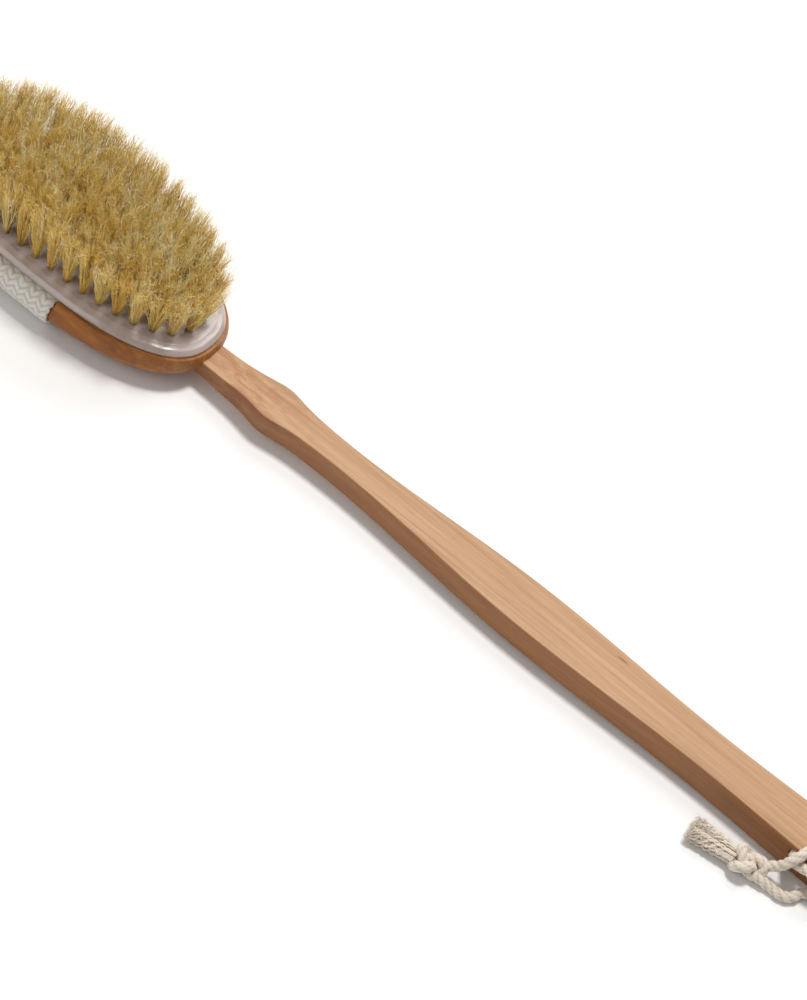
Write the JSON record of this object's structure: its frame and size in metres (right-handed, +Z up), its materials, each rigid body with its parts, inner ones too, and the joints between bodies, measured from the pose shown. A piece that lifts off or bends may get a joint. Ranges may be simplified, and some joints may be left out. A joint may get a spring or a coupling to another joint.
{
  "type": "body dry brush",
  "caption": "Oval body brush with natural bristles in a translucent plate on a wooden head, an elastic hand strap, and a long wooden handle that pulls out, with a knotted cord loop.",
  "frame": {"origin": "on the floor under the middle of the brush, which lies on its back with its bristles up", "axes": "+X along the brush from the head to the handle's end, +Z up out of the bristles, +Y across"},
  "size_m": [0.44, 0.0674, 0.0485],
  "materials": {
    "head_wood": "varnished",
    "handle_wood": "fine sanded, lightly oiled",
    "plate_plastic": "translucent, satin",
    "pin_plastic": "moulded",
    "bristle": "natural hair",
    "wire": "drawn wire",
    "strap_webbing": "knitted elastic",
    "cord_cotton": "twisted cotton"
  },
  "bodies": {
    "head": {"wood_block": "head_wood", "bristle_plate": "plate_plastic", "plate_pins": "pin_plastic", "tufts_outer": "bristle", "tufts_middle": "bristle", "tufts_inner": "bristle", "tufts_centre": "bristle", "tuft_anchors": "wire", "hand_strap": "strap_webbing", "strap_tacks": "wire"},
    "handle": {"handle": "handle_wood", "hang_cord": "cord_cotton", "cord_knot": "cord_cotton", "cord_tails": "cord_cotton"}
  },
  "joints": [
    {"name": "handle_slide", "type": "slide", "parent": "head", "child": "handle", "axis": [1, 0, 0], "range_m": [0, 0.056]}
  ]
}
